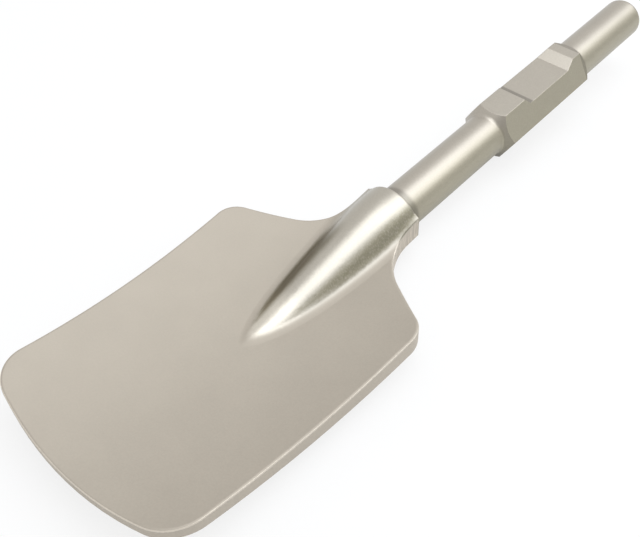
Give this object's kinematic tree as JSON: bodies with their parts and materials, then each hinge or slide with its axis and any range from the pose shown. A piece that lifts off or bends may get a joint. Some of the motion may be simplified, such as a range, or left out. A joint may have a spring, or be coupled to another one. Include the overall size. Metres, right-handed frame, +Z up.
{
  "type": "spade chisel",
  "caption": "Forged spade chisel for a demolition hammer: notched hexagon shank, round nose, and a wide dished spade with a tapering rib.",
  "frame": {"origin": "middle of the footprint, on the surface that the chisel lies on", "axes": "+Y along the chisel towards the nose of the shank, +Z up out of the dish, +X across the spade"},
  "size_m": [0.1278, 0.4514, 0.0444],
  "materials": {
    "forged_steel": "satin nickel-grey, lightly blasted"
  },
  "bodies": {
    "root": {"spade_chisel": "forged_steel"}
  },
  "joints": []
}
